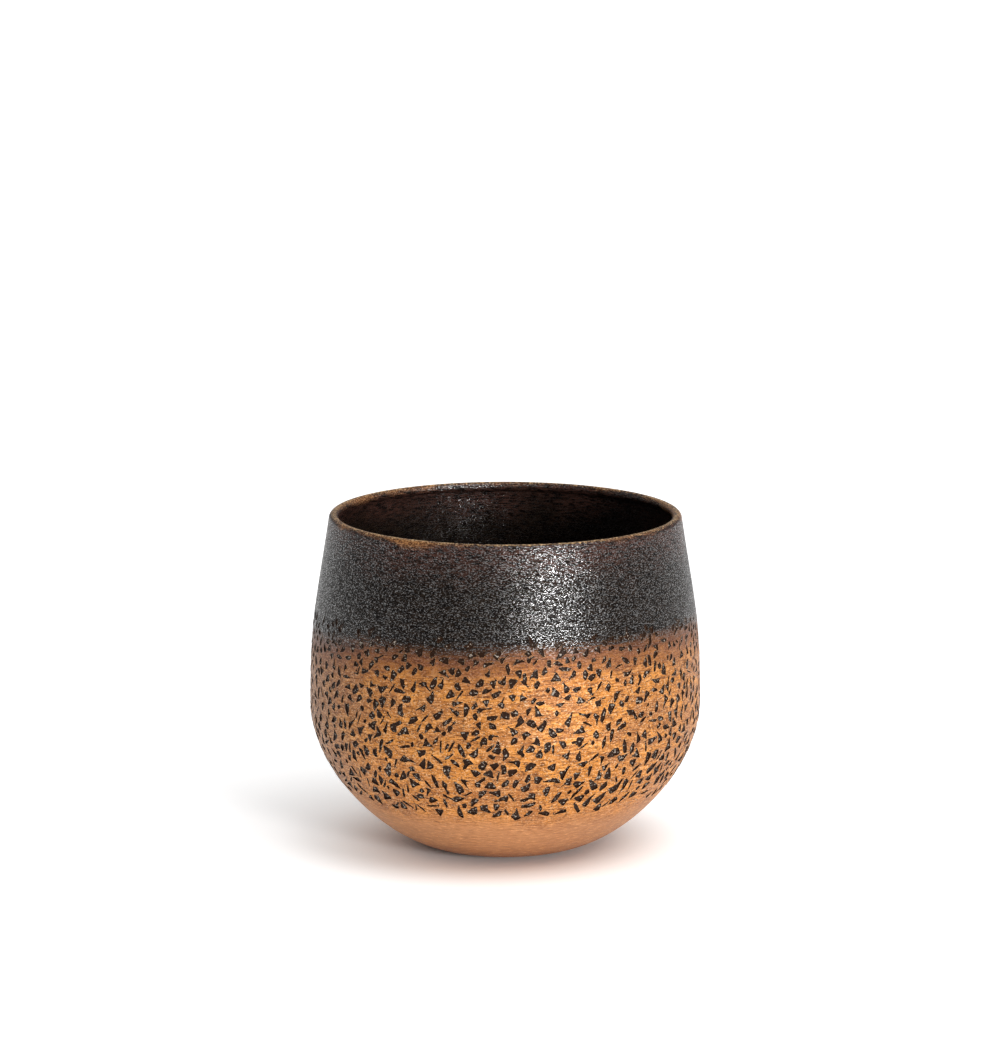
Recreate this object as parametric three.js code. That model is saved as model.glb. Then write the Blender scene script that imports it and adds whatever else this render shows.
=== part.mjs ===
// A brass planter pot: a cover pot spun from one brass sheet, with its lip rolled over a stiffening
// wire, four bumper pads under its foot and a plastic liner that lifts out through the mouth.
// Millimetres, +Z up. The origin is on the ground, under the middle of the pot.
import * as THREE from 'three';

// Pot: overall sizes, measured over the metal.
const potHeight = 171.5;
const bellyRadius = 100;
const mouthRadius = 90;
const bellyHeight = 74;
const footRadius = 36.5;
const sheet = 1.2;

// Pot: its side is two curves, which meet upright at the belly. Each pull is the length of the
// curve's handle, and the two angles are the bowl's rise at the foot and the wall's lean at the lip.
const footRise = THREE.MathUtils.degToRad(6);
const footPull = 25;
const bowlPull = 35;
const wallPull = 44;
const mouthPull = 41;
const mouthLean = THREE.MathUtils.degToRad(8.5);

// Pot: the rolled lip and the shallow recess that stiffens the foot.
const lipRadius = 2.5;
const lipSlit = 0.5;
const recessRadius = 20;
const recessDepth = 1.8;
const recessSlope = 3;

// Foot pads.
const padCount = 4;
const padThickness = 1.2;
const padMargin = 1.5;
const padBevel = 0.3;

// Liner.
const linerDrop = 36;
const linerMouthClearance = 6;
const linerBaseRadius = 52;
const linerWall = 1.2;
const linerFlange = 5;
const linerSkirt = 6;
const linerFootWidth = 8;
const linerKick = 2.5;
const linerCorner = 4;
const linerEdge = 0.4;

// Left between two pieces that touch.
const touchGap = 0.3;

// How finely round shapes are stepped.
const turnSteps = 60;
const bowlSteps = 10;
const wallSteps = 7;
const lipSteps = 9;
const smallSteps = 4;

// Worked out from the sizes above.
const quarterTurn = Math.PI / 2;
const footHeight = padThickness + touchGap;

// A piece turned about +Z from an outline of (radius, height) points.
function turned(name, outline, steps, material) {
  const geometry = new THREE.LatheGeometry(outline, steps);
  geometry.rotateX(quarterTurn);
  const mesh = new THREE.Mesh(geometry, material);
  mesh.name = name;
  return mesh;
}

// Points on an arc, from one angle to the other.
function arcPoints(centre, radius, from, to, steps) {
  return Array.from({ length: steps + 1 }, (_, i) => {
    const angle = from + ((to - from) * i) / steps;
    return new THREE.Vector2(
      centre.x + radius * Math.cos(angle),
      centre.y + radius * Math.sin(angle),
    );
  });
}

// The bowl: from the edge of the flat foot up to the belly.
const bowl = new THREE.CubicBezierCurve(
  new THREE.Vector2(footRadius, 0),
  new THREE.Vector2(footRadius + footPull * Math.cos(footRise), footPull * Math.sin(footRise)),
  new THREE.Vector2(bellyRadius, bellyHeight - bowlPull),
  new THREE.Vector2(bellyRadius, bellyHeight),
);

// The upper wall: from the belly to where the lip starts to roll.
const wallTop = potHeight - lipRadius * (1 - Math.sin(mouthLean));
const upperWall = new THREE.CubicBezierCurve(
  new THREE.Vector2(bellyRadius, bellyHeight),
  new THREE.Vector2(bellyRadius, bellyHeight + wallPull),
  new THREE.Vector2(
    mouthRadius + mouthPull * Math.sin(mouthLean),
    wallTop - mouthPull * Math.cos(mouthLean),
  ),
  new THREE.Vector2(mouthRadius, wallTop),
);

// Points along the bowl and the wall, moved into the metal by a depth.
function sidePoints(depth) {
  const inside = (curve, along) => {
    const direction = curve.getTangent(along);
    const point = curve.getPoint(along);
    return new THREE.Vector2(point.x - direction.y * depth, point.y + direction.x * depth);
  };
  const onBowl = Array.from({ length: bowlSteps }, (_, i) => inside(bowl, i / bowlSteps));
  const onWall = Array.from({ length: wallSteps + 1 }, (_, i) => inside(upperWall, i / wallSteps));
  return [...onBowl, ...onWall];
}

const outerSide = sidePoints(0);
const innerSide = sidePoints(sheet);

// The lip rolls inwards about this centre, which is also the middle of the wire.
const lipCentre = new THREE.Vector2(
  mouthRadius - lipRadius * Math.cos(mouthLean),
  potHeight - lipRadius,
);
const mouthOpening = lipCentre.x - lipRadius;

// The recess in the foot, seen from below, from the axis to the start of the bowl.
function recessPoints(lift) {
  return [
    new THREE.Vector2(0, recessDepth + lift),
    new THREE.Vector2(recessRadius - recessSlope, recessDepth + lift),
    new THREE.Vector2(recessRadius, lift),
  ];
}

// One sheet of even thickness: foot, bowl, wall and the lip, whose edge stops short of the wall.
function potBody(material) {
  const end = mouthLean + 2 * Math.PI - Math.acos((lipRadius - sheet - lipSlit) / lipRadius);
  const lipOutside = arcPoints(lipCentre, lipRadius, mouthLean, end, lipSteps);
  const lipInside = arcPoints(lipCentre, lipRadius - sheet, end, mouthLean, lipSteps);
  const outline = [
    ...recessPoints(0),
    ...outerSide,
    ...lipOutside.slice(1),
    ...lipInside.slice(0, -1),
    ...innerSide.slice().reverse(),
    ...recessPoints(sheet).reverse(),
  ];
  const mesh = turned('pot_body', outline, turnSteps, material);
  mesh.position.z = footHeight;
  return mesh;
}

// The wire fills the rolled lip, with the usual gap all round.
function rimWire(material) {
  const radius = lipRadius - sheet - touchGap;
  const outline = arcPoints(lipCentre, radius, 0, 2 * Math.PI, smallSteps + 2);
  outline[outline.length - 1] = outline[0].clone();
  const mesh = turned('rim_wire', outline, turnSteps, material);
  mesh.position.z = footHeight;
  return mesh;
}

// Round pads under the flat ring of the foot, midway between the recess and the bowl.
function footPad(index, material) {
  const radius = (footRadius - recessRadius) / 2 - padMargin;
  const circle = (footRadius + recessRadius) / 2;
  const outline = [
    new THREE.Vector2(0, 0),
    new THREE.Vector2(radius - padBevel, 0),
    new THREE.Vector2(radius, padBevel),
    new THREE.Vector2(radius, padThickness),
    new THREE.Vector2(0, padThickness),
  ];
  const mesh = turned(`foot_pad_${index + 1}`, outline, turnSteps / 3, material);
  const angle = (2 * Math.PI * (index + 0.5)) / padCount;
  mesh.position.set(circle * Math.cos(angle), circle * Math.sin(angle), 0);
  return mesh;
}

// Height of the pot's inside surface at a radius within the bowl.
function innerHeightAt(radius) {
  const next = Math.max(1, innerSide.findIndex((point) => point.x >= radius));
  const low = innerSide[next - 1];
  const high = innerSide[next];
  return low.y + ((high.y - low.y) * (radius - low.x)) / (high.x - low.x);
}

// The liner's bottom corner, which beds on the bowl.
function linerCornerPoints(inset) {
  const centre = new THREE.Vector2(linerBaseRadius - linerCorner, linerCorner);
  return arcPoints(centre, linerCorner - inset, -quarterTurn, 0, smallSteps);
}

// How high above the pot's foot the liner comes to rest, its corner just clear of the bowl.
function linerRest() {
  const heights = linerCornerPoints(0).map((point) => innerHeightAt(point.x) - point.y);
  return Math.max(...heights) + touchGap;
}

// A tapered pot with a turned-down rim and a foot ring, open at the top and watertight below.
function linerPot(material) {
  const rest = linerRest();
  const height = potHeight - linerDrop - rest;
  const rimRadius = mouthOpening - linerMouthClearance;
  const neck = rimRadius - linerFlange;
  const footInner = linerBaseRadius - linerCorner - linerFootWidth;
  const outline = [
    new THREE.Vector2(0, linerKick),
    new THREE.Vector2(footInner - linerKick, linerKick),
    new THREE.Vector2(footInner, 0),
    ...linerCornerPoints(0),
    new THREE.Vector2(neck, height - linerWall),
    new THREE.Vector2(rimRadius - linerWall, height - linerWall),
    new THREE.Vector2(rimRadius - linerWall, height - linerSkirt),
    new THREE.Vector2(rimRadius, height - linerSkirt),
    new THREE.Vector2(rimRadius, height - linerEdge),
    new THREE.Vector2(rimRadius - linerEdge, height),
    new THREE.Vector2(neck - linerWall + linerEdge, height),
    new THREE.Vector2(neck - linerWall, height - linerEdge),
    ...linerCornerPoints(linerWall).reverse(),
    new THREE.Vector2(footInner, linerWall),
    new THREE.Vector2(footInner - linerKick, linerKick + linerWall),
    new THREE.Vector2(0, linerKick + linerWall),
  ];
  const mesh = turned('liner_pot', outline, turnSteps, material);
  mesh.position.z = footHeight + rest;
  return mesh;
}

const patinatedBrass = new THREE.MeshStandardMaterial({
  color: 0xa8683a,
  roughness: 0.45,
  metalness: 0.85,
});
const steelWire = new THREE.MeshStandardMaterial({
  color: 0x8c8c8c,
  roughness: 0.4,
  metalness: 1,
});
const padRubber = new THREE.MeshStandardMaterial({
  color: 0x1c1b1a,
  roughness: 0.9,
  metalness: 0,
});
const blackPlastic = new THREE.MeshStandardMaterial({
  color: 0x17181a,
  roughness: 0.6,
  metalness: 0,
});

const planter = new THREE.Group();
planter.name = 'planter';
planter.add(potBody(patinatedBrass));
planter.add(rimWire(steelWire));
planter.add(linerPot(blackPlastic));
for (let index = 0; index < padCount; index += 1) {
  planter.add(footPad(index, padRubber));
}

export default planter;
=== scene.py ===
"""Looks of the brass planter pot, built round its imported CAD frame.

The pot is one closed mesh. Its chiselled band is a triangulation that holds every mark's outline, so each
mark is a real pit with a raised edge. The liner and the pads are turned from finer outlines than in CAD.
"""

import math

import bpy
import numpy as np
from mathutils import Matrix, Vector
from mathutils.geometry import delaunay_2d_cdt


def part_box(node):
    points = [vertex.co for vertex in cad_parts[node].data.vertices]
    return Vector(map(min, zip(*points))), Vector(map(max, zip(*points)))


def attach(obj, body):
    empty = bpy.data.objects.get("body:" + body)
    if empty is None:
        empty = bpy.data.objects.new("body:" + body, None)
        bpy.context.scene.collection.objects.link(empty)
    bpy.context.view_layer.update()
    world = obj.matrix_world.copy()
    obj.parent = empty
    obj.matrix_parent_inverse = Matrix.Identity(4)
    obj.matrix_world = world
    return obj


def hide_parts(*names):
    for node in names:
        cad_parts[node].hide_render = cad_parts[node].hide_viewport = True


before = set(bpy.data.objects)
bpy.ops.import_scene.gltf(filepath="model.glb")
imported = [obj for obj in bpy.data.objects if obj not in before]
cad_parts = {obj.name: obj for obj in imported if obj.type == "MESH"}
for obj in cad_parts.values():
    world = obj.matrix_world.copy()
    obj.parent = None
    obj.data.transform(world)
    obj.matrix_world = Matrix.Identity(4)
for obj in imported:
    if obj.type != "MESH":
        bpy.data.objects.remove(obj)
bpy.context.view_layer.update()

MM = 0.001
TURN = 2 * math.pi

# The pot, in millimetres, as in the frame's CAD model.
pot_low, pot_high = (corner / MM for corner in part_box("pot_body"))
FOOT_Z = pot_low.z
BELLY_RADIUS = pot_high.x
POT_HEIGHT = 171.5
BELLY_HEIGHT = 74
MOUTH_RADIUS = 90
FOOT_RADIUS = 36.5
SHEET = 1.2
FOOT_RISE = math.radians(6)
FOOT_PULL = 25
BOWL_PULL = 35
WALL_PULL = 44
MOUTH_PULL = 41
MOUTH_LEAN = math.radians(8.5)
LIP_RADIUS = 2.5
LIP_SLIT = 0.5
RECESS_RADIUS = 20
RECESS_DEPTH = 1.8
RECESS_SLOPE = 3

# How bright the surroundings are on the camera's side and on the far side.
WORLD_FRONT = 0.04
WORLD_BACK = 0.3

# The suns: azimuth from the camera's side towards +X, elevation, strength and width, with angles in degrees.
SUNS = {
    "key": (33, 11, 2.4, 12),
    "overhead": (52, 58, 1.6, 44),
    "front": (-5, 50, 0.4, 60),
}

# The chiselled band and its marks, in millimetres. The scale and the depths hold at the bottom, and what is
# lost is lost by the top.
BAND_LOW = 26
BAND_HIGH = 131
MARKS_LOW = 36
MARKS_HIGH = 127
MARK_COUNT = 1500
MARK_GAP = 0.72
MARK_RIM = 0.32
MARK_WALL = 0.26
MARK_SCALE = 1.33
MARK_SCALE_LOST = 0.48
MARK_DEPTHS = (0.5, 0.8)
MARK_DEPTH_LOST = 0.35
BURR_HEIGHTS = (0.05, 0.2)
AROUND = TURN * BELLY_RADIUS
SEED = 7

# How finely the pot is meshed, in millimetres: the plain metal of the band, the plain rings outside and
# inside, and the number of columns round it. Edges past the sharp angle aren't smoothed.
MESH_STEP = 2.3
RING_STEP = 2.6
INNER_RING_STEP = 7.5
COLUMNS = 224
SHARP_ANGLE = math.radians(32)

# The spun side's ripples: waves round the pot, radians per millimetre of height, phase and size. They fade
# to nothing at the low height and at the high one.
RIPPLES = [
    (2, 0.013, 0.4, 0.10),
    (3, 0.021, 2.1, 0.07),
    (5, 0.037, 4.0, 0.05),
    (9, 0.061, 1.2, 0.035),
    (17, 0.11, 5.1, 0.02),
]
RIPPLE_LOW = 14
RIPPLE_HIGH = 165
RIPPLE_FADE = 20

# The liner, in millimetres, as in the CAD model, and then its stacking step and the ribs on its floor.
LINER_WALL = 1.2
LINER_FLANGE = 5
LINER_SKIRT = 6
LINER_BASE_RADIUS = 52
LINER_CORNER = 4
LINER_FOOT_WIDTH = 8
LINER_KICK = 2.5
STEP_DOWN = 25
STEP_OUT = 1.0
RIB_COUNT = 8
RIB_HALF_WIDTH = 1.3
RIB_HEIGHT = 0.9
RIB_REACH = (12, 33.5)
BOSS_RADIUS = 11
NUB_RADIUS = 2.3
NUB_HEIGHT = 0.5

rng = np.random.default_rng(SEED)


# ---------------------------------------------------------------- outlines


def bezier(points, count):
    """count points on a cubic curve."""
    a, b, c, d = (np.array(p, float) for p in points)
    t = np.linspace(0, 1, count)[:, None]
    return (1 - t) ** 3 * a + 3 * (1 - t) ** 2 * t * b + 3 * (1 - t) * t**2 * c + t**3 * d


def arc(centre, radius, start, end, count):
    """count points on an arc, angles in radians."""
    angle = np.linspace(start, end, count)
    return np.stack([centre[0] + radius * np.cos(angle), centre[1] + radius * np.sin(angle)], axis=1)


def along(outline):
    """Distance travelled at each point of an outline."""
    steps = np.linalg.norm(np.diff(outline, axis=0), axis=1)
    return np.concatenate([[0], np.cumsum(steps)])


def resample(outline, step):
    """The same outline in even steps of about that length."""
    travelled = along(outline)
    even = np.linspace(0, travelled[-1], max(2, round(travelled[-1] / step) + 1))
    return np.stack([np.interp(even, travelled, outline[:, k]) for k in (0, 1)], axis=1)


def side_outline():
    """The pot's outside from the edge of its foot to where the lip starts to roll."""
    wall_top = POT_HEIGHT - LIP_RADIUS * (1 - math.sin(MOUTH_LEAN))
    bowl = bezier(
        [
            (FOOT_RADIUS, 0),
            (FOOT_RADIUS + FOOT_PULL * math.cos(FOOT_RISE), FOOT_PULL * math.sin(FOOT_RISE)),
            (BELLY_RADIUS, BELLY_HEIGHT - BOWL_PULL),
            (BELLY_RADIUS, BELLY_HEIGHT),
        ],
        600,
    )
    wall = bezier(
        [
            (BELLY_RADIUS, BELLY_HEIGHT),
            (BELLY_RADIUS, BELLY_HEIGHT + WALL_PULL),
            (
                MOUTH_RADIUS + MOUTH_PULL * math.sin(MOUTH_LEAN),
                wall_top - MOUTH_PULL * math.cos(MOUTH_LEAN),
            ),
            (MOUTH_RADIUS, wall_top),
        ],
        600,
    )
    return np.concatenate([bowl, wall[1:]]) + (0, FOOT_Z)


SIDE = side_outline()
SIDE_ALONG = along(SIDE)
SIDE_TANGENT = np.gradient(SIDE, axis=0)
SIDE_TANGENT /= np.linalg.norm(SIDE_TANGENT, axis=1)[:, None]


def on_side(travelled, depth=0.0):
    """(radius, height) on the pot's side, moved into the metal by a depth."""
    point = [np.interp(travelled, SIDE_ALONG, SIDE[:, k]) for k in (0, 1)]
    tangent = [np.interp(travelled, SIDE_ALONG, SIDE_TANGENT[:, k]) for k in (0, 1)]
    return np.stack([point[0] - tangent[1] * depth, point[1] + tangent[0] * depth], axis=-1)


def side_at_height(height):
    """How far along the side a height lies."""
    return float(np.interp(height, SIDE[:, 1], SIDE_ALONG))


# ---------------------------------------------------------------- the marks

# Each kind of mark: its corners as shares of its half length and half width, with its head at -1 and its
# tail at +1, then the range of its length and of its width in millimetres, and its share of all the marks.
MARK_KINDS = {
    "wedge": ([(-1, -1), (-0.3, -0.9), (1, 0.1), (0.1, 0.55), (-0.9, 1)], (4.2, 6.6), (2.6, 4.0), 0.2),
    "slash": (
        [(-1, -0.5), (-0.3, -1), (0.6, -0.7), (1, 0.2), (0.2, 1), (-0.8, 0.7)],
        (4.2, 7.2),
        (1.4, 2.2),
        0.14,
    ),
    "stub": (
        [(-1, -0.7), (0.2, -1), (1, -0.5), (0.8, 0.8), (-0.2, 1), (-0.9, 0.5)],
        (3.2, 4.8),
        (2.2, 3.1),
        0.12,
    ),
    "tailed": (
        [(-1, -0.9), (-0.35, -1), (0.1, -0.3), (1, -0.08), (0.95, 0.2), (0.1, 0.45), (-0.5, 1)],
        (5.2, 8.0),
        (2.6, 3.8),
        0.16,
    ),
    "triangle": ([(-0.8, -1), (0.7, -0.7), (1, -0.2), (-0.1, 1), (-0.5, 0.8)], (3.8, 5.4), (2.8, 4.0), 0.12),
    "pear": (
        [(-1, -0.5), (-0.6, -1), (0, -0.8), (1, -0.1), (0.4, 0.4), (-0.2, 1), (-0.8, 0.8)],
        (4.0, 6.0),
        (2.2, 3.2),
        0.05,
    ),
    "nick": ([(-1, -0.6), (0.3, -1), (1, 0.1), (0.1, 1), (-0.7, 0.8)], (2.0, 3.2), (1.2, 2.0), 0.06),
    "splinter": ([(-1, -0.5), (-0.2, -1), (1, -0.1), (0.3, 0.9), (-0.8, 0.8)], (3.4, 6.2), (0.8, 1.2), 0.15),
}


def blunted(outline, share=0.13):
    """The outline with each of its corners cut off once, by a share of the edges that meet there."""
    after = np.roll(outline, -1, axis=0)
    near, far = outline * (1 - share) + after * share, outline * share + after * (1 - share)
    return np.stack([near, far], axis=1).reshape(-1, 2)


def split_long(outline, longest):
    """The outline with a point in the middle of each long edge."""
    points = []
    for here, after in zip(outline, np.roll(outline, -1, axis=0)):
        points.append(here)
        if np.linalg.norm(after - here) > longest:
            points.append((here + after) / 2)
    return np.array(points)


def outward(outline):
    """Which way is out at each point of an anticlockwise outline."""
    before = outline - np.roll(outline, 1, axis=0)
    after = np.roll(outline, -1, axis=0) - outline
    before /= np.linalg.norm(before, axis=1)[:, None]
    after /= np.linalg.norm(after, axis=1)[:, None]
    out = np.stack([before[:, 1] + after[:, 1], -before[:, 0] - after[:, 0]], axis=1)
    return out / np.linalg.norm(out, axis=1)[:, None]


def room_inside(outline, out):
    """How far it is from each point of an outline straight across to its other side."""
    far = []
    start, run = outline, np.roll(outline, -1, axis=0) - outline
    for here, way in zip(outline, -out):
        cross = way[0] * run[:, 1] - way[1] * run[:, 0]
        cross = np.where(np.abs(cross) < 1e-9, 1e-9, cross)
        off = start - here
        ahead = (off[:, 0] * run[:, 1] - off[:, 1] * run[:, 0]) / cross
        share = (off[:, 0] * way[1] - off[:, 1] * way[0]) / cross
        hits = ahead[(ahead > 1e-6) & (share >= 0) & (share <= 1)]
        far.append(hits.min() if len(hits) else 0.1)
    return np.array(far)


def points_to_edges(points, outline):
    """The shortest distance from any of the points to an outline's edges."""
    run = np.roll(outline, -1, axis=0) - outline
    off = points[:, None, :] - outline[None, :, :]
    share = (off * run).sum(axis=2) / (run * run).sum(axis=1)
    nearest = off - share.clip(0, 1)[:, :, None] * run
    return math.sqrt((nearest * nearest).sum(axis=2).min())


def edges_cross(one, other):
    """Whether any edge of one outline crosses an edge of the other."""

    def side(p, q, r):
        run, off = q - p, r - p
        return run[..., 0] * off[..., 1] - run[..., 1] * off[..., 0]

    a, b = one[:, None], np.roll(one, -1, axis=0)[:, None]
    c, d = other[None], np.roll(other, -1, axis=0)[None]
    apart = (side(a, b, c) * side(a, b, d) > -1e-9) | (side(c, d, a) * side(c, d, b) > -1e-9)
    return not apart.all()


def within(point, outline):
    """Whether a point lies inside an outline."""
    after = np.roll(outline, -1, axis=0)
    spans = (outline[:, 1] > point[1]) != (after[:, 1] > point[1])
    rise = np.where(after[:, 1] == outline[:, 1], 1.0, after[:, 1] - outline[:, 1])
    crossing = outline[:, 0] + (point[1] - outline[:, 1]) / rise * (after[:, 0] - outline[:, 0])
    return bool(np.count_nonzero(spans & (crossing > point[0])) % 2)


def random_slant():
    """The angle that a mark points along, on the band laid flat: most of them rise to the right or drop to
    the left, seen from outside."""
    mostly_slanting = rng.random() < 0.65
    slant = rng.normal(0.9, 0.5) if mostly_slanting else rng.uniform(0, math.pi)
    return slant + math.pi * rng.integers(0, 2)


class Mark:
    """One struck mark: its middle on the band laid flat, its outline in millimetres and its depth."""

    # How far its corners stray, as a share of its width, the longest edge that gets no point in its middle,
    # how much of the room inside its wall may take, and how close its middle may come to another's.
    CORNER_STRAY = 0.16
    LONGEST_EDGE = 2.2
    WALL_SHARE = 0.38
    CLOSEST_MIDDLES = 1.5

    def __init__(self, kind, u, s, scale, depth):
        corners, lengths, widths, _ = MARK_KINDS[kind]
        length, width = rng.uniform(*lengths) * scale, rng.uniform(*widths) * scale
        slant = random_slant()
        corners = np.array(corners) * (length / 2, width / 2)
        corners = corners + rng.normal(0, self.CORNER_STRAY * width, corners.shape)
        outline = split_long(blunted(corners), self.LONGEST_EDGE)
        turn = np.array([(math.cos(slant), math.sin(slant)), (-math.sin(slant), math.cos(slant))])
        self.middle = np.array([u, s])
        self.narrowing = on_side(s)[0] / BELLY_RADIUS
        self.depth = depth
        self.tailward = (outline[:, 0] / length + 0.5).clip(0, 1)
        self.outline = outline @ turn
        self.reach = np.linalg.norm(self.outline, axis=1).max()
        self.out = outward(self.outline)
        self.inset = np.minimum(MARK_WALL, self.WALL_SHARE * room_inside(self.outline, self.out))
        self.floor = self.outline - self.out * self.inset[:, None]

    def sound(self):
        """Whether its outlines cross neither themselves nor each other."""
        pairs = [(self.outline, self.outline), (self.floor, self.floor), (self.outline, self.floor)]
        return not any(edges_cross(one, other) for one, other in pairs)

    def laid(self, outline):
        """An outline in millimetres about this mark's middle, placed on the band laid flat."""
        return self.middle + outline / (self.narrowing, 1)

    def away_from(self, places):
        """Places on the band laid flat, in millimetres from this mark's middle, the short way round."""
        off = places - self.middle
        off[..., 0] -= AROUND * np.round(off[..., 0] / AROUND)
        return off * (self.narrowing, 1)

    def clear_of(self, other):
        """Whether this mark leaves the least gap to another one."""
        off = self.away_from(other.middle)
        apart = math.hypot(*off)
        if apart > self.reach + other.reach + MARK_GAP:
            return True
        if apart < self.CLOSEST_MIDDLES:
            return False
        there = other.outline + off
        gap = min(points_to_edges(self.outline, there), points_to_edges(there, self.outline))
        return gap > MARK_GAP


def scatter_marks(low, high):
    """Marks that don't touch, over a band closed round the pot: smaller and sparser towards its top."""
    cells = 48
    cell = AROUND / cells
    grid = {}
    kinds = list(MARK_KINDS)
    shares = [MARK_KINDS[kind][3] for kind in kinds]
    placed = 0
    while placed < MARK_COUNT:
        u, s = rng.uniform(0, AROUND), rng.uniform(low, high)
        risen = (s - low) / (high - low)
        kind = kinds[rng.choice(len(kinds), p=shares)]
        depth = rng.uniform(*MARK_DEPTHS) * (1 - MARK_DEPTH_LOST * risen)
        mark = Mark(kind, u, s, MARK_SCALE - MARK_SCALE_LOST * risen, depth)
        left_out = rng.random() < 0.3 * risen + 7 * max(0, risen - 0.9)
        column, row = int(u // cell), int(s // cell)
        near = [grid.get(((column + i) % cells, row + j), []) for i in (-1, 0, 1) for j in (-1, 0, 1)]
        if left_out or not all(mark.clear_of(other) for cellful in near for other in cellful):
            continue
        if mark.sound():
            grid.setdefault((column, row), []).append(mark)
            placed += 1
    return [mark for cellful in grid.values() for mark in cellful]


# ---------------------------------------------------------------- the chiselled band


class Band:
    """The chiselled band laid flat: u runs round the belly and s up the side."""

    # How far past each end of the band laid flat its other end is repeated while it is triangulated, how far
    # the grid's points stray, how far they stay from a mark's outermost ring, and how close its rows are.
    OVERLAP = 24
    GRID_STRAY = 0.3
    GRID_CLEARANCE = 0.5
    GRID_ROW = MESH_STEP * 0.87

    def __init__(self, low, high):
        self.places, self.lift, self.pit, self.raised, self.edges = [], [], [], [], []
        for s in (low, high):
            self.add([(AROUND * column / COLUMNS, s) for column in range(COLUMNS)])
        marks = scatter_marks(side_at_height(MARKS_LOW), side_at_height(MARKS_HIGH))
        for mark in marks:
            self.add_mark(mark)
        self.add_plain_metal(low, high, marks)
        self.places = np.array(self.places)

    def add(self, places, lift=None, pit=0.0, raised=0.0, closed=False):
        """Points, with what they carry. A closed row of them keeps its edges in the triangulation."""
        first, count = len(self.places), len(places)
        self.places += [tuple(place) for place in places]
        self.lift += [0.0] * count if lift is None else list(lift)
        self.pit += [pit] * count
        self.raised += [raised] * count
        if closed:
            self.edges += [(first + k, first + (k + 1) % count) for k in range(count)]

    def add_mark(self, mark):
        """Round each mark: level metal, the raised edge, then the floor of the pit."""
        burr = rng.uniform(*BURR_HEIGHTS) * (0.3 + 0.7 * mark.tailward)
        sunk = -mark.depth * (1 - 0.4 * mark.tailward) * (mark.inset / MARK_WALL) ** 0.7
        self.add(mark.laid(mark.outline + mark.out * MARK_RIM))
        self.add(mark.laid(mark.outline), burr, 0.5, 1.0, closed=True)
        self.add(mark.laid(mark.floor), sunk, 1.0, closed=True)
        middle = mark.floor.mean(axis=0)
        self.add(mark.laid(middle[None, :]), [sunk.mean() - rng.uniform(0, 0.12)], 1.0)

    def add_plain_metal(self, low, high, marks):
        """A jittered triangular grid, left out close to the marks."""
        rows = round((high - low) / self.GRID_ROW)
        columns = round(AROUND / MESH_STEP)
        row, column = np.meshgrid(np.arange(1, rows), np.arange(columns), indexing="ij")
        u = (column + 0.5 * (row % 2)) * AROUND / columns
        s = low + (high - low) * row / rows
        stray = rng.uniform(-self.GRID_STRAY, self.GRID_STRAY, (u.size, 2))
        grid = np.stack([u.ravel(), s.ravel()], axis=1) + stray
        grid[:, 0] %= AROUND
        clearance = MARK_RIM + self.GRID_CLEARANCE
        free = np.ones(len(grid), bool)
        for mark in marks:
            off = mark.away_from(grid)
            near = (np.abs(off) < mark.reach + 1).all(axis=1) & free
            for k in np.flatnonzero(near):
                outside = not within(off[k], mark.outline)
                free[k] = outside and points_to_edges(off[k][None, :], mark.outline) > clearance
        self.add(grid[free])

    def triangles(self):
        """Triangles between all the points: each end carries copies of what lies past it round the pot."""
        places, edges = self.places, np.array(self.edges)
        count = len(places)
        copies, owner, links, base = [places], [np.arange(count)], [edges], count
        ends = ((AROUND, places[:, 0] < self.OVERLAP), (-AROUND, places[:, 0] > AROUND - self.OVERLAP))
        for shift, chosen in ends:
            picked = np.flatnonzero(chosen)
            number = np.full(count, -1)
            number[picked] = base + np.arange(len(picked))
            copies.append(places[picked] + (shift, 0))
            owner.append(picked)
            links.append(number[edges[(number[edges] >= 0).all(axis=1)]])
            base += len(picked)
        flat, owner, links = np.concatenate(copies), np.concatenate(owner), np.concatenate(links)
        found = delaunay_2d_cdt([Vector(p) for p in flat.tolist()], links.tolist(), [], 0, 1e-5, True)
        where, faces, origins = np.array([tuple(v) for v in found[0]]), np.array(found[2]), found[3]
        if not all(origins):
            raise RuntimeError("two marks touch")
        source = np.array([origin[0] for origin in origins])
        middle = where[faces][:, :, 0].mean(axis=1)
        kept = (middle >= 0) & (middle < AROUND)
        return owner[source[faces[kept]]]


# ---------------------------------------------------------------- turned shapes


def eased(share):
    """A share held between 0 and 1 and eased at both ends."""
    share = np.clip(share, 0, 1)
    return share * share * (3 - 2 * share)


def ripple(angle, height):
    """How far the spun side strays from round, in millimetres."""
    out = 0.0
    for turns, rise, phase, size in RIPPLES:
        out = out + size * np.sin(turns * angle + phase) * np.sin(rise * height + 1.7 * phase)
    return out * eased((height - RIPPLE_LOW) / RIPPLE_FADE) * eased((RIPPLE_HIGH - height) / RIPPLE_FADE)


def turned_point(angle, radius, height):
    """The place of a point given by its angle, radius and height, in metres."""
    radius = radius + ripple(angle, height)
    return np.stack([radius * np.cos(angle), radius * np.sin(angle), height], axis=-1) * MM


def ring_faces(lower, upper):
    """Quads between two rings of vertex numbers."""
    after_lower, after_upper = np.roll(lower, -1), np.roll(upper, -1)
    return np.stack([lower, after_lower, after_upper, upper], axis=1).tolist()


def fan_faces(ring, centre, facing_up):
    """Triangles from a ring to the vertex in its middle."""
    after = np.roll(ring, -1)
    pairs = zip(ring.tolist(), after.tolist())
    return [(a, b, centre) if facing_up else (b, a, centre) for a, b in pairs]


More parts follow.
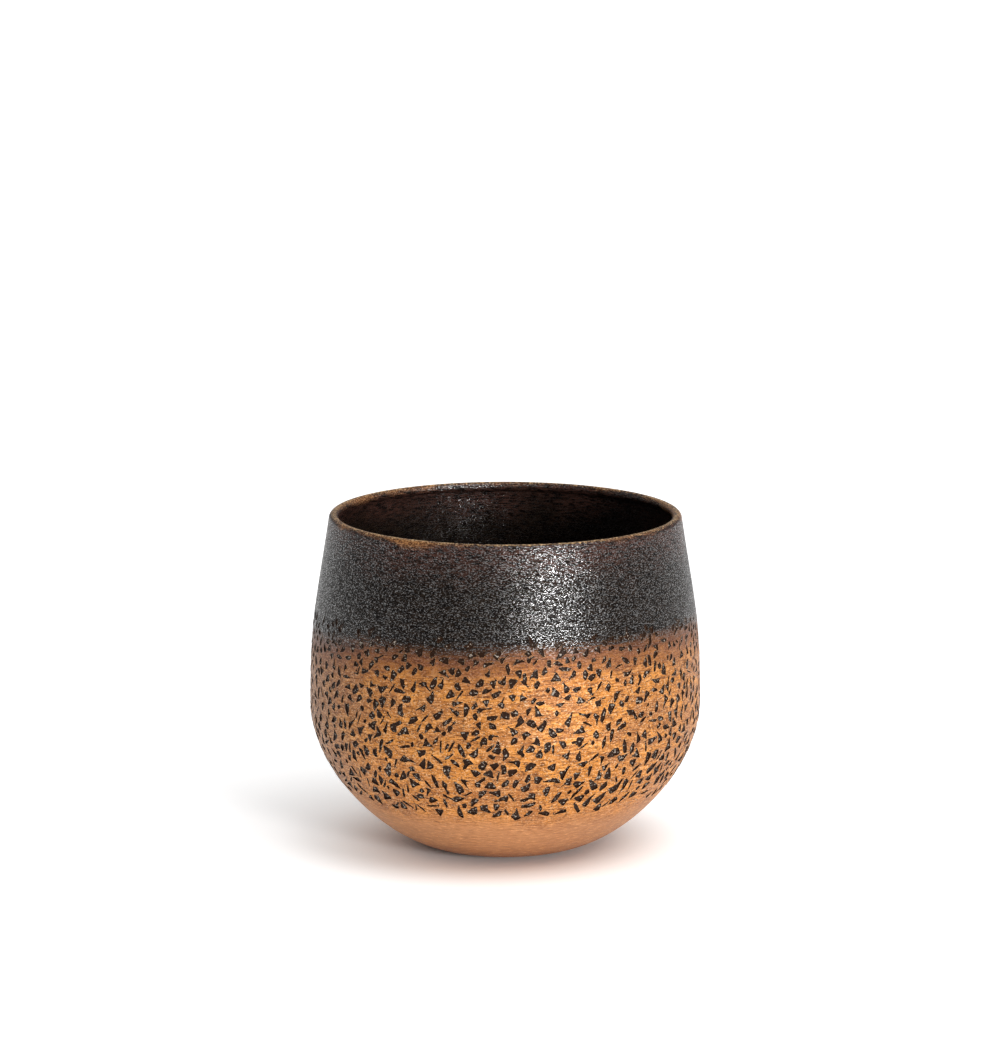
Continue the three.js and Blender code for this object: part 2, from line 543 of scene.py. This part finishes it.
def mesh_object(name, points, faces, sharp_angle=None):
    """A smooth-shaded object, with its edges sharp past an angle."""
    mesh = bpy.data.meshes.new(name)
    mesh.from_pydata(np.asarray(points).tolist(), [], faces)
    mesh.shade_smooth()
    if sharp_angle is not None:
        mesh.set_sharp_from_angle(angle=sharp_angle)
    mesh.update()
    made = bpy.data.objects.new(name, mesh)
    bpy.context.scene.collection.objects.link(made)
    return made


def write_attribute(made, name, values):
    """A number at each vertex, for the material to read."""
    attribute = made.data.attributes.new(name, "FLOAT", "POINT")
    attribute.data.foreach_set("value", np.asarray(values, np.float32))


# ---------------------------------------------------------------- the pot


def underside_outline():
    """From near the middle of the recess to near the foot's edge."""
    slope_start, slope_middle = RECESS_RADIUS - RECESS_SLOPE, RECESS_RADIUS - RECESS_SLOPE / 2
    recess = [(radius, RECESS_DEPTH) for radius in (2.5, 7, 12, slope_start - 0.8)]
    slope = [
        (slope_start + 0.4, RECESS_DEPTH * 0.88),
        (slope_middle, RECESS_DEPTH * 0.5),
        (RECESS_RADIUS - 0.4, RECESS_DEPTH * 0.12),
    ]
    ring = [(radius, 0) for radius in (RECESS_RADIUS + 0.8, 25, 30, FOOT_RADIUS - 1)]
    return np.array(recess + slope + ring) + (0, FOOT_Z)


def lip_outline():
    """Round the rolled lip and back inside it to the wall."""
    centre = (MOUTH_RADIUS - LIP_RADIUS * math.cos(MOUTH_LEAN), FOOT_Z + POT_HEIGHT - LIP_RADIUS)
    end = MOUTH_LEAN + TURN - math.acos((LIP_RADIUS - SHEET - LIP_SLIT) / LIP_RADIUS)
    outside = arc(centre, LIP_RADIUS, MOUTH_LEAN, end, 26)[1:]
    inside = arc(centre, LIP_RADIUS - SHEET, end, MOUTH_LEAN, 12)[:-1]
    return np.concatenate([outside, inside])


def plain_rings(outline, first):
    """The points of the rings turned from an outline, and their vertex numbers, one row for each ring."""
    angle = np.arange(COLUMNS) / COLUMNS * TURN
    radius, height = (np.repeat(outline[:, k], COLUMNS) for k in (0, 1))
    points = turned_point(np.tile(angle, len(outline)), radius, height)
    return points, first + np.arange(len(points)).reshape(-1, COLUMNS)


def travelled_off_band(below, above, low, high):
    """How far along the pot's outline its plain rings and its two middles lie, on from the band both ways."""
    travelled_below = along(np.concatenate([below, [on_side(low)]]))
    travelled_below = low - travelled_below[-1] + travelled_below[:-1]
    travelled_above = high + np.linalg.norm(above[0] - on_side(high)) + along(above)
    first_radius = below[0, 0]
    middles = [travelled_below[0] - first_radius, travelled_above[-1] + first_radius]
    return np.concatenate([travelled_below, travelled_above]), middles


def make_pot():
    """The pot's shell, one closed mesh: underside, bowl, chiselled band, wall, lip, inside."""
    low, high = side_at_height(BAND_LOW), side_at_height(BAND_HIGH)
    band = Band(low, high)
    outline = on_side(band.places[:, 1], -np.array(band.lift))
    band_points = turned_point(band.places[:, 0] / AROUND * TURN, outline[:, 0], outline[:, 1])

    bowl = resample(SIDE[SIDE_ALONG <= low], RING_STEP)[:-1]
    wall = resample(SIDE[SIDE_ALONG >= high], RING_STEP)[1:]
    inner = resample(on_side(SIDE_ALONG, SHEET)[::-1], INNER_RING_STEP)
    floor = underside_outline()[::-1] + (0, SHEET)
    below = np.concatenate([underside_outline(), bowl])
    above = np.concatenate([wall, lip_outline(), inner, floor])
    points_below, rings_below = plain_rings(below, len(band_points))
    points_above, rings_above = plain_rings(above, rings_below[-1, -1] + 1)
    middles = np.array([(0, 0, FOOT_Z + RECESS_DEPTH), (0, 0, FOOT_Z + RECESS_DEPTH + SHEET)]) * MM
    lower_middle = int(rings_above[-1, -1]) + 1
    upper_middle = lower_middle + 1

    faces = band.triangles().tolist()
    bottom_row, top_row = np.arange(COLUMNS), np.arange(COLUMNS, 2 * COLUMNS)
    for rings in ([*rings_below, bottom_row], [top_row, *rings_above]):
        for lower, upper in zip(rings, rings[1:]):
            faces += ring_faces(lower, upper)
    faces += fan_faces(rings_below[0], lower_middle, False)
    faces += fan_faces(rings_above[-1], upper_middle, True)
    points = np.concatenate([band_points, points_below, points_above, middles])
    made = mesh_object("pot_shell", points, faces, SHARP_ANGLE)

    plain = np.zeros(len(points) - len(band_points))
    write_attribute(made, "pit", np.concatenate([band.pit, plain]))
    write_attribute(made, "raised", np.concatenate([band.raised, plain]))
    inside = np.zeros(len(points))
    inside[rings_above[-len(inner) - len(floor) :].ravel()] = 1
    inside[upper_middle] = 1
    write_attribute(made, "inside", inside)

    on_rings, at_middles = travelled_off_band(below, above, low, high)
    on_rings = np.repeat(on_rings, COLUMNS)
    write_attribute(made, "travelled", np.concatenate([band.places[:, 1], on_rings, at_middles]))
    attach(made, "pot")
    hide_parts("pot_body")
    return made


# ---------------------------------------------------------------- the liner and the pads


def lathe(name, outline, columns, relief=None):
    """A closed turned piece from an outline whose first and last points lie on the axis."""
    angle = np.arange(columns) / columns * TURN
    points, faces, rings = [], [], []
    count = 0
    for radius, height in outline[1:-1]:
        lift = relief(angle, radius, height) if relief else 0.0
        ring = [radius * np.cos(angle), radius * np.sin(angle), np.full(columns, height) + lift]
        points.append(np.stack(ring, axis=1) * MM)
        rings.append(np.arange(count, count + columns))
        count += columns
    for lower, upper in zip(rings, rings[1:]):
        faces += ring_faces(lower, upper)
    points.append(np.array([(0, 0, outline[0][1]), (0, 0, outline[-1][1])]) * MM)
    faces += fan_faces(rings[0], count, False)
    faces += fan_faces(rings[-1], count + 1, True)
    return mesh_object(name, np.concatenate(points), faces, math.radians(40))


def liner_wall(height, neck):
    """(radius, height) up the outside of the liner's wall, which steps out below its rim so that liners
    can be stacked."""
    step = height - STEP_DOWN
    lower, upper = np.linspace(8, step - 3, 22), np.linspace(step + 1, height - 2.4, 8)
    z = np.concatenate([lower, [step - 1, step], upper])
    out = np.interp(z, [step - 3, step - 1, step, step + 1], [0, 0.1 * STEP_OUT, 0.9 * STEP_OUT, STEP_OUT])
    slope = (neck - LINER_BASE_RADIUS) / (height - LINER_CORNER)
    return np.stack([LINER_BASE_RADIUS + slope * (z - LINER_CORNER) + out, z], axis=1)


def liner_outline(height, rim):
    """From the middle of the liner's underside, over its rim and down inside to the middle of its floor."""
    neck = rim - LINER_FLANGE
    wall = liner_wall(height, neck)
    corner_centre = (LINER_BASE_RADIUS - LINER_CORNER, LINER_CORNER)
    foot = LINER_BASE_RADIUS - LINER_CORNER - LINER_FOOT_WIDTH
    floor_z = LINER_KICK + LINER_WALL
    under_flange, skirt_inside, skirt_bottom = height - LINER_WALL, rim - LINER_WALL, height - LINER_SKIRT
    small, edge = 1.0, 0.3

    underside = [(radius, LINER_KICK) for radius in (0, 10, 24, foot - LINER_KICK - 0.5)]
    foot_ring = [(foot - 0.6, 0.5), (foot + 0.4, 0), (LINER_BASE_RADIUS - LINER_CORNER - 3, 0)]
    skirt = [
        (skirt_inside, skirt_bottom + edge),
        (skirt_inside + edge, skirt_bottom),
        (rim - edge, skirt_bottom),
        (rim, skirt_bottom + edge),
    ]
    floor_edge = [
        (foot + 0.6, LINER_WALL),
        (foot - 0.4, LINER_WALL + 0.4),
        (foot - LINER_KICK - 0.3, floor_z),
    ]
    floor_radii = (36, 34, 33, 28, 23, 18, 13, 12, 11, 8, 5, 4, 3.4, 2.6, 2.2, 0)
    parts = [
        underside,
        foot_ring,
        arc(corner_centre, LINER_CORNER, -math.pi / 2, 0, 9),
        wall,
        arc((neck + 2 * small, under_flange - small), small, math.pi, math.pi / 2, 5),
        arc((skirt_inside - small, under_flange - small), small, math.pi / 2, 0, 5),
        skirt,
        arc((rim - 1.6, height - 1.6), 1.6, 0, math.pi / 2, 8),
        arc((neck - LINER_WALL + 2.2, height - 1.2), 1.2, math.pi / 2, math.pi, 7),
        wall[::-1] - (LINER_WALL, 0),
        arc(corner_centre, LINER_CORNER - LINER_WALL, 0, -math.pi / 2, 7),
        floor_edge,
        [(radius, floor_z) for radius in floor_radii],
    ]
    return np.concatenate(parts)


def make_liner():
    """The liner: a moulded pot with a rolled-down rim, a stacking step and ribs on its floor."""
    low, high = (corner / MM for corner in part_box("liner_pot"))
    outline = liner_outline(high.z - low.z, high.x) + (0, low.z)
    floor_z = low.z + LINER_KICK + LINER_WALL

    def relief(angle, radius, z):
        """Ribs and a raised middle on the floor, and a small sprue nub."""
        if abs(z - floor_z) > 0.01:
            return 0.0
        from_rib = np.abs((angle * RIB_COUNT / TURN + 0.5) % 1 - 0.5) * TURN / RIB_COUNT * radius
        ribbed = RIB_REACH[0] < radius < RIB_REACH[1]
        lift = np.where((from_rib < RIB_HALF_WIDTH) & ribbed, RIB_HEIGHT, 0.0)
        if radius <= BOSS_RADIUS:
            lift = lift + RIB_HEIGHT
        if radius <= NUB_RADIUS:
            lift = lift + NUB_HEIGHT
        return lift

    made = lathe("liner", outline, 288, relief=relief)
    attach(made, "liner")
    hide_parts("liner_pot")
    return made


def make_pad(number):
    """A stick-on pad: a short disc, with its edge rounded where it stands on the ground."""
    low, high = (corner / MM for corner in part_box(f"foot_pad_{number}"))
    radius, thick = (high.x - low.x) / 2, high.z - low.z
    rounding, bevel = 0.55, 0.15
    bottom = [(0, 0), (radius * 0.4, 0), (radius * 0.75, 0)]
    edge = arc((radius - rounding, rounding), rounding, -math.pi / 2, 0, 6)
    top = [(radius, thick - bevel), (radius - bevel, thick), (radius * 0.6, thick), (0, thick)]
    made = lathe(f"pad_{number}", np.concatenate([bottom, edge, top]), 48)
    centre = (low + high) / 2
    shift = Vector((centre.x, centre.y, low.z)) * MM
    for vertex in made.data.vertices:
        vertex.co += shift
    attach(made, "pot")
    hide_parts(f"foot_pad_{number}")
    return made


# ---------------------------------------------------------------- materials

# The patina's colours, as linear RGBA. A few of them are painted shade or painted highlights, as said where
# they are used.
PATINA = {
    "orange": (0.52, 0.19, 0.028, 1),
    "dull_orange": (0.40, 0.15, 0.04, 1),
    "bright_orange": (0.66, 0.26, 0.045, 1),
    "bowl": (0.53, 0.25, 0.105, 1),
    "bowl_foot": (0.36, 0.14, 0.055, 1),
    # Painted shade: the bowl's colour towards +X, where the key light falls.
    "bowl_shaded_right": (0.34, 0.15, 0.065, 1),
    # Painted shade: the copper's colour towards the far left side.
    "shaded_left_side": (0.25, 0.13, 0.07, 1),
    "broad_line": (0.25, 0.08, 0.02, 1),
    "dark_line": (0.13, 0.04, 0.010, 1),
    "bright_line": (0.88, 0.47, 0.19, 1),
    "dark_speck": (0.07, 0.022, 0.008, 1),
    "bright_sand": (1.0, 0.70, 0.42, 1),
    "fringe_dark": (0.060, 0.018, 0.010, 1),
    "fringe_light": (0.22, 0.075, 0.035, 1),
    "char": (0.002, 0.001, 0.0008, 1),
    "char_line": (0.013, 0.008, 0.005, 1),
    "char_near_lip": (0.055, 0.024, 0.018, 1),
    "rubbed": (0.92, 0.60, 0.34, 1),
    "pit_wall": (0.014, 0.004, 0.0005, 1),
    "pit_floor": (0.022, 0.009, 0.004, 1),
    # Painted glints on the pits' floors.
    "painted_glint": (0.36, 0.31, 0.26, 1),
    "worn_dark": (0.10, 0.038, 0.018, 1),
    "worn_light": (0.54, 0.25, 0.09, 1),
    "crest_dark": (0.12, 0.05, 0.02, 1),
    # Worn metal on the lip's crest, painted bright as a highlight.
    "crest_wear_and_highlight": (0.95, 0.62, 0.30, 1),
}


class Nodes:
    """Short calls for building one node material."""

    def __init__(self, name):
        self.material = bpy.data.materials.new(name)
        self.material.use_nodes = True
        self.tree = self.material.node_tree
        self.shader = self.tree.nodes["Principled BSDF"]

    def add(self, kind, inputs=None, **settings):
        node = self.tree.nodes.new(kind)
        for key, value in settings.items():
            setattr(node, key, value)
        for key, value in (inputs or {}).items():
            self.put(node.inputs[key], value)
        return node

    def put(self, socket, value):
        """A link into the socket, or a constant on it."""
        if isinstance(value, bpy.types.NodeSocket):
            self.tree.links.new(value, socket)
        else:
            socket.default_value = value

    def surface(self, sockets):
        """The finished material, with the shader's sockets set."""
        for name, value in sockets.items():
            self.put(self.shader.inputs[name], value)
        return self.material

    def math(self, operation, a, b=0.0, c=0.0):
        return self.add("ShaderNodeMath", {0: a, 1: b, 2: c}, operation=operation).outputs[0]

    def times(self, a, b):
        return self.math("MULTIPLY", a, b)

    def remainder(self, share):
        """What a share leaves of the whole."""
        return self.math("SUBTRACT", 1.0, share)

    def swayed(self, value, texture, reach):
        """A value moved by a texture, by up to half the reach either way."""
        return self.math("MULTIPLY_ADD", self.math("SUBTRACT", texture, 0.5), reach, value)

    def between(self, value, low, high):
        """0 at low, 1 at high, eased between."""
        inputs = {0: value, 1: low, 2: high, 3: 0.0, 4: 1.0}
        return self.add("ShaderNodeMapRange", inputs, interpolation_type="SMOOTHSTEP").outputs[0]

    def mix(self, share, a, b):
        """A colour."""
        return self.add("ShaderNodeMix", {0: share, 6: a, 7: b}, data_type="RGBA").outputs[2]

    def mix_number(self, share, a, b):
        return self.add("ShaderNodeMix", {0: share, 2: a, 3: b}, data_type="FLOAT").outputs[0]

    def noise(self, place, scale, detail=2.0, rough=0.5):
        inputs = {"Vector": place, "Scale": scale, "Detail": detail, "Roughness": rough}
        return self.add("ShaderNodeTexNoise", inputs).outputs[0]

    def cells(self, place, scale):
        return self.add("ShaderNodeTexVoronoi", {"Vector": place, "Scale": scale}).outputs["Distance"]

    def stretched(self, place, x, y, z):
        return self.add("ShaderNodeVectorMath", {0: place, 1: (x, y, z)}, operation="MULTIPLY").outputs[0]

    def attribute(self, name):
        return self.add("ShaderNodeAttribute", attribute_name=name).outputs["Fac"]

    def bump(self, height, distance, strength=1.0, normal=None):
        """A normal, from a height and how many metres it stands for."""
        inputs = {"Height": height, "Distance": distance, "Strength": strength}
        if normal is not None:
            inputs["Normal"] = normal
        return self.add("ShaderNodeBump", inputs).outputs[0]


def object_millimetres(n):
    """The surface point in the piece's own frame, in millimetres."""
    place = n.add("ShaderNodeTexCoord").outputs["Object"]
    return n.stretched(place, 1 / MM, 1 / MM, 1 / MM)


class Grain:
    """The textures of the patina: lines left by turning, long round the pot and low, clouds, patches, specks
    and sand."""

    def __init__(self, n):
        self.place = object_millimetres(n)
        self.x, self.y, self.z = n.add("ShaderNodeSeparateXYZ", {0: self.place}).outputs
        inputs = {0: self.x, 1: self.y, 2: n.attribute("travelled")}
        turned = n.add("ShaderNodeCombineXYZ", inputs).outputs[0]
        self.broad_lines = n.noise(n.stretched(turned, 0.05, 0.05, 1.0), 0.9, 3.0, 0.65)
        self.lines = n.noise(n.stretched(turned, 0.16, 0.16, 1.0), 1.5, 3.0, 0.65)
        self.cloud = n.noise(self.place, 0.035, 3.0, 0.55)
        self.patch = n.noise(n.stretched(self.place, 0.5, 0.5, 1.0), 0.16, 3.0, 0.6)
        self.speck = n.noise(n.stretched(self.place, 0.75, 0.75, 1.0), 0.95, 2.0, 0.6)
        self.sand = n.noise(n.stretched(self.place, 0.55, 0.55, 1.0), 1.9, 2.0, 0.6)


def charcoal_shares(n, g):
    """How far each point is charred, and reddened in the fringe below. The charcoal's wavering edge lies
    lowest at the back and slightly lower at -X than at +X."""
    edge = n.math("MULTIPLY_ADD", g.x, 0.025, 115.0)
    edge = n.math("MULTIPLY_ADD", g.y, -0.045, edge)
    edge = n.swayed(edge, n.noise(g.place, 0.028, 2.0), 7.0)
    above = n.math("SUBTRACT", g.z, edge)
    above = n.swayed(above, g.broad_lines, 12.0)
    above = n.swayed(above, g.sand, 8.0)
    return n.between(above, -5.0, 6.0), n.between(above, -19.0, -1.0)


def copper_colour(n, g):
    """Copper-brown, smoother and pinker on the plain bowl under the marks than on the busy band of marks,
    with painted shade darkening the bowl towards +X and the copper towards the far left.
    """
    busy = n.between(n.swayed(g.z, g.cloud, 14.0), 24.0, 38.0)
    orange = n.mix(n.between(g.cloud, 0.38, 0.64), PATINA["orange"], PATINA["dull_orange"])
    orange = n.mix(n.between(g.patch, 0.45, 0.7), orange, PATINA["bright_orange"])
    # The plain bowl is darker towards the foot.
    bowl = n.mix(n.between(g.z, 15.0, 1.0), PATINA["bowl"], PATINA["bowl_foot"])
    # Painted shade: the plain bowl is darkened towards +X, where the key light falls.
    bowl = n.mix(n.times(n.between(g.x, 0.0, 60.0), 0.6), bowl, PATINA["bowl_shaded_right"])
    copper = n.mix(busy, bowl, orange)
    # Painted shade: the copper is darkened towards the far left (-X), standing in for the shade on that side.
    copper = n.mix(n.times(n.between(g.x, -55.0, -100.0), 0.75), copper, PATINA["shaded_left_side"])
    layers = [
        (g.broad_lines, 0.52, 0.66, n.mix_number(busy, 0.3, 0.6), "broad_line"),
        (g.lines, 0.48, 0.38, n.mix_number(busy, 0.25, 0.85), "dark_line"),
        (g.lines, 0.56, 0.64, 0.5, "bright_line"),
        (g.speck, 0.45, 0.36, n.times(busy, 0.7), "dark_speck"),
        (g.sand, 0.59, 0.65, n.times(busy, 0.6), "bright_sand"),
    ]
    for texture, low, high, share, colour in layers:
        copper = n.mix(n.times(n.between(texture, low, high), share), copper, PATINA[colour])
    return copper


def charcoal_colour(n, g):
    """Soft black with paler lines, browner towards the lip."""
    char = n.mix(n.between(g.lines, 0.42, 0.60), PATINA["char"], PATINA["char_line"])
    near_lip = n.between(n.swayed(g.z, g.cloud, 40.0), 148.0, 172.0)
    return n.mix(n.times(near_lip, n.between(g.lines, 0.40, 0.6)), char, PATINA["char_near_lip"])


def with_marks(n, g, colour, charred):
    """The colour with the marks: they hold charcoal, ragged at its edge and with painted glints, grey specks
    standing in for highlights, on their floors, and their raised edges are rubbed bright. Also gives the
    shares of fill in marks and of rubbed metal."""
    pit = n.attribute("pit")
    in_mark = n.between(n.swayed(pit, g.sand, 1.3), 0.20, 0.38)
    rubbed = n.times(n.between(n.attribute("raised"), 0.25, 0.8), n.remainder(in_mark))
    rubbed = n.times(rubbed, n.mix_number(charred, 0.55, 0.1))
    colour = n.mix(rubbed, colour, PATINA["rubbed"])
    on_floor = n.between(pit, 0.7, 0.97)
    # Painted glints: grey-white specks on the pits' floors stand in for highlights.
    painted_glint = n.times(n.between(g.speck, 0.60, 0.63), on_floor)
    fill = n.mix(on_floor, PATINA["pit_wall"], PATINA["pit_floor"])
    return n.mix(in_mark, colour, n.mix(painted_glint, fill, PATINA["painted_glint"])), in_mark, rubbed


def with_worn_lip(n, g, colour, inside):
    """The colour with the lip worn through to copper: a soft band outside its crest, uneven round the pot,
    and a line along the crest itself, worn metal painted bright and speckled as a highlight. Also gives the
    share of bare metal."""
    top = FOOT_Z + POT_HEIGHT
    uneven = n.math("MULTIPLY_ADD", n.noise(g.place, 0.03, 2.0), 16.0, g.z)
    uneven = n.swayed(uneven, g.lines, 6.0)
    worn = n.between(uneven, top + 5.2, top + 10.4)
    worn = n.times(worn, n.remainder(n.times(inside, 0.8)))
    bare = n.mix(n.between(g.sand, 0.42, 0.58), PATINA["worn_dark"], PATINA["worn_light"])
    colour = n.mix(worn, colour, bare)
    # The crest's line is worn bare metal with a painted highlight: speckled pale gold along the top of the
    # lip.
    crest = n.between(n.swayed(g.z, g.speck, 3.0), top - 0.5, top + 0.1)
    bright = n.mix(n.between(g.sand, 0.45, 0.58), PATINA["crest_dark"], PATINA["crest_wear_and_highlight"])
    return n.mix(crest, colour, bright), n.math("MAXIMUM", worn, crest)


def patina():
    """Copper-brown patina below, charcoal above and inside, dark marks, and bare metal on the worn lip."""
    n = Nodes("patinated_brass")
    g = Grain(n)
    inside = n.attribute("inside")
    charred, reddened = charcoal_shares(n, g)
    fringe = n.mix(n.between(g.sand, 0.42, 0.58), PATINA["fringe_dark"], PATINA["fringe_light"])
    colour = n.mix(n.times(reddened, 0.8), copper_colour(n, g), fringe)
    char = charcoal_colour(n, g)
    colour = n.mix(inside, n.mix(charred, colour, char), char)
    colour, in_mark, rubbed = with_marks(n, g, colour, charred)
    colour, worn = with_worn_lip(n, g, colour, inside)

    # The dark parts shine through grains, which are smoother and reflect more than what lies between them.
    dark = n.math("MAXIMUM", n.math("MAXIMUM", charred, inside), in_mark)
    dark = n.times(dark, n.remainder(worn))
    grains = n.between(g.sand, 0.53, 0.60)
    rough = n.mix_number(dark, 0.50, n.mix_number(grains, 0.40, 0.23))
    rough = n.swayed(rough, g.patch, 0.2)
    rough = n.mix_number(rubbed, rough, 0.25)
    rough = n.mix_number(worn, rough, 0.3)
    gloss = n.mix_number(grains, 0.025, n.mix_number(in_mark, 0.95, 0.08))

    normal = n.bump(n.noise(g.place, 0.16, 3.0, 0.6), 0.8 * MM, 0.4)
    normal = n.bump(g.lines, 0.12 * MM, 1.0, normal)
    normal = n.bump(g.sand, n.mix_number(dark, 0.12 * MM, 0.20 * MM), 1.0, normal)
    return n.surface(
        {
            "Base Color": colour,
            "Metallic": n.mix_number(dark, 0.45, 0.0),
            "Roughness": rough,
            "Specular IOR Level": n.mix_number(dark, 0.12, gloss),
            "IOR": 2.0,
            "Normal": normal,
        }
    )


def black_plastic():
    """Moulded polypropylene: matt black, with a fine texture, scuffs and a little dust on its floor."""
    n = Nodes("black_plastic")
    place = object_millimetres(n)
    cloud = n.noise(place, 0.06, 4.0, 0.6)
    fine = n.noise(place, 2.2, 2.0, 0.6)
    scuff = n.noise(n.stretched(place, 0.2, 0.2, 1.0), 1.1, 4.0, 0.7)
    up = n.add("ShaderNodeSeparateXYZ", {0: n.add("ShaderNodeNewGeometry").outputs["Normal"]}).outputs[2]
    dust = n.times(n.between(up, 0.5, 1.0), n.between(cloud, 0.35, 0.7))
    colour = n.mix(n.between(cloud, 0.3, 0.7), (0.014, 0.014, 0.015, 1), (0.024, 0.024, 0.025, 1))
    colour = n.mix(n.times(n.between(scuff, 0.62, 0.8), 0.5), colour, (0.07, 0.07, 0.07, 1))
    colour = n.mix(n.times(dust, 0.35), colour, (0.16, 0.14, 0.12, 1))
    return n.surface(
        {
            "Base Color": colour,
            "Roughness": n.math("MULTIPLY_ADD", cloud, 0.25, 0.38),
            "Normal": n.bump(scuff, 0.15 * MM, 0.3, n.bump(fine, 0.12 * MM, 0.6)),
        }
    )


def pad_rubber():
    """Dark rubber with a fine pebble grain and lint picked up from the shelf."""
    n = Nodes("pad_rubber")
    place = object_millimetres(n)
    cloud = n.noise(place, 0.5, 4.0, 0.6)
    lint = n.noise(n.stretched(place, 1, 0.25, 1), 3.0, 3.0, 0.7)
    colour = n.mix(n.between(cloud, 0.35, 0.7), (0.020, 0.019, 0.018, 1), (0.038, 0.036, 0.034, 1))
    colour = n.mix(n.times(n.between(lint, 0.64, 0.78), 0.5), colour, (0.16, 0.15, 0.14, 1))
    return n.surface(
        {
            "Base Color": colour,
            "Roughness": n.math("MULTIPLY_ADD", cloud, 0.2, 0.68),
            "Normal": n.bump(n.cells(place, 2.6), 0.1 * MM, 0.8),
        }
    )


def galvanised_wire():
    """Dull zinc-coated steel with drawn lines and darker patches."""
    n = Nodes("galvanised_wire")
    place = object_millimetres(n)
    cloud = n.noise(place, 0.4, 4.0, 0.6)
    drawn = n.noise(n.stretched(place, 0.3, 0.3, 4.0), 2.0, 2.0, 0.5)
    return n.surface(
        {
            "Base Color": n.mix(n.between(cloud, 0.35, 0.7), (0.34, 0.34, 0.34, 1), (0.52, 0.52, 0.51, 1)),
            "Metallic": 1.0,
            "Roughness": n.math("MULTIPLY_ADD", cloud, 0.3, 0.25),
            "Normal": n.bump(drawn, 0.05 * MM, 0.6),
        }
    )


def floor_paint():
    """Plain near-white floor, which glows a little away from the pot to keep its shadow pale."""
    n = Nodes("studio_white")
    place = object_millimetres(n)
    away = n.add("ShaderNodeVectorMath", {0: place}, operation="LENGTH").outputs["Value"]
    return n.surface(
        {
            "Base Color": n.mix(n.noise(place, 0.004, 2.0), (0.90, 0.90, 0.90, 1), (0.93, 0.93, 0.93, 1)),
            "Roughness": 0.9,
            "Specular IOR Level": 0.1,
            "Emission Color": (1, 1, 1, 1),
            "Emission Strength": n.times(n.between(away, 30.0, 130.0), 0.5),
        }
    )


def coat(made, material):
    """The piece gets this one material."""
    made.data.materials.clear()
    made.data.materials.append(material)


# ---------------------------------------------------------------- stage, camera, light


def make_stage():
    """A wide pale floor, a hair below the pads so that it doesn't share their plane."""
    half, z = 30.0, -0.05 * MM
    points = [(-half, -half, z), (half, -half, z), (half, half, z), (-half, half, z)]
    floor = mesh_object("studio_floor", points, [(0, 1, 2, 3)])
    coat(floor, floor_paint())


def make_camera():
    """A long lens a little above the mouth, looking along +Y."""
    distance, elevation = 2.2, math.radians(14.98)
    pitch, yaw = math.radians(10.77), math.radians(0.204)
    data = bpy.data.cameras.new("camera")
    data.sensor_fit = "AUTO"
    data.sensor_width = 36
    data.lens = 144.4
    data.clip_start, data.clip_end = 0.05, 200
    camera = bpy.data.objects.new("camera", data)
    camera.location = (0, -distance * math.cos(elevation), distance * math.sin(elevation))
    camera.rotation_euler = (math.pi / 2 - pitch, 0, yaw)
    bpy.context.scene.collection.objects.link(camera)
    bpy.context.scene.camera = camera


def sun_light(name, azimuth, elevation, strength, spread):
    """A soft, even light from far away, with its angles in degrees."""
    data = bpy.data.lights.new(name, "SUN")
    data.energy = strength
    data.angle = math.radians(spread)
    light = bpy.data.objects.new(name, data)
    turn, rise = math.radians(azimuth), math.radians(elevation)
    from_there = Vector((math.sin(turn) * math.cos(rise), -math.cos(turn) * math.cos(rise), math.sin(rise)))
    light.rotation_euler = from_there.to_track_quat("Z", "Y").to_euler()
    bpy.context.scene.collection.objects.link(light)


def make_lights():
    """A low key at the right front, a broad light overhead, a faint one in front, and the surroundings."""
    for name, settings in SUNS.items():
        sun_light(name, *settings)
    make_surroundings()
    bpy.context.scene.view_settings.view_transform = "Standard"


def make_surroundings():
    """White light from all round, brighter from behind the pot than from the camera's side."""
    world = bpy.data.worlds.new("surround")
    world.use_nodes = True
    tree = world.node_tree
    direction = tree.nodes.new("ShaderNodeTexCoord")
    split = tree.nodes.new("ShaderNodeSeparateXYZ")
    spread = tree.nodes.new("ShaderNodeMapRange")
    spread.interpolation_type = "SMOOTHSTEP"
    for socket, value in ((1, -0.75), (2, 0.35), (3, WORLD_FRONT), (4, WORLD_BACK)):
        spread.inputs[socket].default_value = value
    tree.links.new(direction.outputs["Generated"], split.inputs[0])
    tree.links.new(split.outputs["Y"], spread.inputs[0])
    tree.links.new(spread.outputs[0], tree.nodes["Background"].inputs["Strength"])
    tree.nodes["Background"].inputs["Color"].default_value = (1, 1, 1, 1)
    bpy.context.scene.world = world


# ---------------------------------------------------------------- everything together

make_camera()
make_lights()
make_stage()

coat(make_pot(), patina())
coat(make_liner(), black_plastic())

rubber = pad_rubber()
for pad_number in range(1, 5):
    coat(make_pad(pad_number), rubber)

coat(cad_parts["rim_wire"], galvanised_wire())
